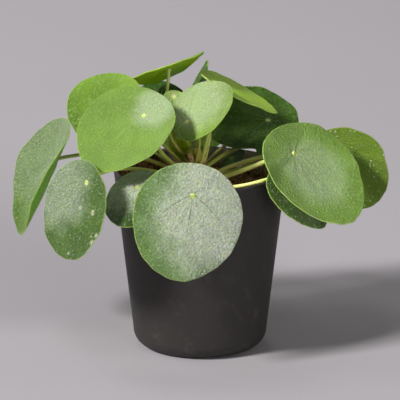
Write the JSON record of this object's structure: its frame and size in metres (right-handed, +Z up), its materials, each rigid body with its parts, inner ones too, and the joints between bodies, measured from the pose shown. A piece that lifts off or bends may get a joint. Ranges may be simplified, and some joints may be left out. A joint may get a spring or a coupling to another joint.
{
  "type": "potted chinese money plant",
  "caption": "Houseplant with round, flat leaves on long stalks that fan out from a short woody stem, in a tapered matte charcoal pot of compost.",
  "frame": {"origin": "centre of the pot's flat underside, on the surface that the pot stands on", "axes": "+Z up, -Y towards the front, +X to the right as seen from the front"},
  "size_m": [0.2753, 0.2012, 0.214],
  "materials": {
    "pot_charcoal": "matte, slightly textured",
    "compost": "rough, moist, crumbly potting compost",
    "stem_bark": "rough young bark",
    "leaf_green": "fleshy, smooth, waxy sheen",
    "stalk_green": "smooth, slightly translucent"
  },
  "bodies": {
    "root": {"pot": "pot_charcoal", "soil": "compost", "stem": "stem_bark", "blade_a": "leaf_green", "blade_b": "leaf_green", "blade_c": "leaf_green", "blade_d": "leaf_green", "blade_e": "leaf_green", "blade_f": "leaf_green", "blade_g": "leaf_green", "blade_h": "leaf_green", "blade_i": "leaf_green", "blade_j": "leaf_green", "blade_k": "leaf_green", "blade_l": "leaf_green", "blade_m": "leaf_green", "blade_n": "leaf_green", "blade_o": "leaf_green", "blade_p": "leaf_green", "blade_q": "leaf_green", "blade_r": "leaf_green", "blade_s": "leaf_green", "blade_t": "leaf_green", "blade_u": "leaf_green", "blade_v": "leaf_green", "stalk_a": "stalk_green", "stalk_b": "stalk_green", "stalk_c": "stalk_green", "stalk_d": "stalk_green", "stalk_e": "stalk_green", "stalk_f": "stalk_green", "stalk_g": "stalk_green", "stalk_h": "stalk_green", "stalk_i": "stalk_green", "stalk_j": "stalk_green", "stalk_k": "stalk_green", "stalk_l": "stalk_green", "stalk_m": "stalk_green", "stalk_n": "stalk_green", "stalk_o": "stalk_green", "stalk_p": "stalk_green", "stalk_q": "stalk_green", "stalk_r": "stalk_green", "stalk_s": "stalk_green", "stalk_t": "stalk_green", "stalk_u": "stalk_green", "stalk_v": "stalk_green"}
  },
  "joints": []
}
